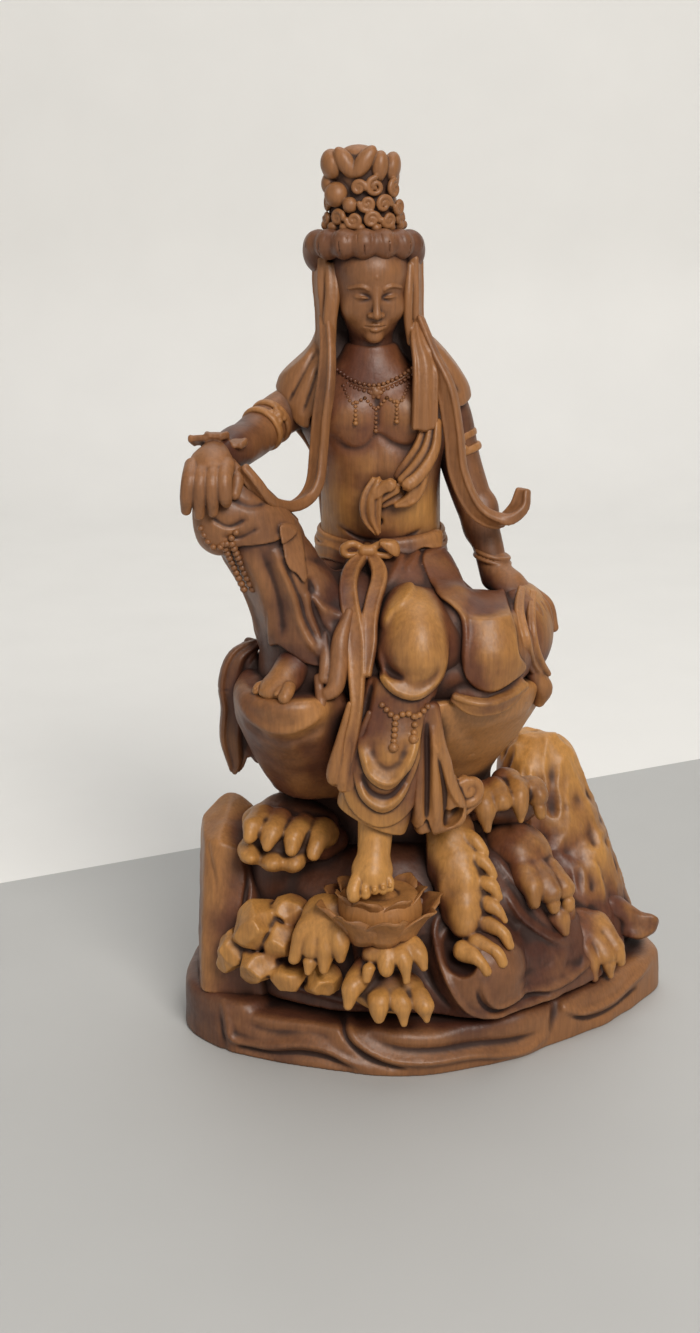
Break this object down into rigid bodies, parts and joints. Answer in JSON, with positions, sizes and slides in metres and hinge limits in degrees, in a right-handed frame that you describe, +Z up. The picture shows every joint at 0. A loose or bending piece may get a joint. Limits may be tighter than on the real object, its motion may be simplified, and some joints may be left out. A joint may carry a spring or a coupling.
{
  "type": "carved seated figure",
  "caption": "Carved boxwood ornament: a crowned robed figure at royal ease on a rock seat above breaking waves, one foot on a lotus; stands on a flat base.",
  "frame": {"origin": "point on the flat underside of the base slab, under the middle of the slab", "axes": "+Z up, -Y to the front that the picture shows, +X to the viewer's right"},
  "size_m": [0.1134, 0.0828, 0.2],
  "materials": {
    "boxwood": "oiled, semi-gloss, dark in the cuts",
    "worn_boxwood": "oiled, worn to ochre on the high spots",
    "dark_boxwood": "oiled, stained dark",
    "dowel_wood": "plain"
  },
  "bodies": {
    "root": {"base_slab": "boxwood", "left_crag": "worn_boxwood", "right_outcrop": "boxwood", "seat_rock": "boxwood", "swell": "dark_boxwood", "lotus_footrest": "boxwood", "foam_upper_right": "worn_boxwood", "foam_front_right": "worn_boxwood", "foam_front_centre": "worn_boxwood", "foam_tall_left": "worn_boxwood", "foam_upper_left": "worn_boxwood", "foam_mid_left": "worn_boxwood", "foam_low_left": "worn_boxwood", "foam_far_left": "worn_boxwood", "hip_block": "boxwood", "torso": "boxwood", "head": "boxwood", "hair_roll": "boxwood", "topknot": "boxwood", "veil": "boxwood", "right_arm": "boxwood", "right_hand": "boxwood", "left_arm": "boxwood", "left_hand": "boxwood", "raised_leg": "boxwood", "raised_foot": "boxwood", "hanging_leg": "boxwood", "hanging_foot": "boxwood", "right_scarf": "boxwood", "left_scarf": "boxwood", "chest_sash": "boxwood", "waist_sash": "boxwood", "sash_tails": "boxwood", "right_drape": "boxwood", "left_drape": "boxwood", "right_hem": "boxwood", "left_hem": "boxwood", "right_armlet": "boxwood", "left_armlet": "boxwood", "necklace": "boxwood", "neck_dowel": "dowel_wood", "topknot_dowel": "dowel_wood", "shoulder_dowels": "dowel_wood", "waist_dowels": "dowel_wood", "seat_dowels": "dowel_wood", "rock_dowels": "dowel_wood", "lotus_dowel": "dowel_wood"}
  },
  "joints": []
}
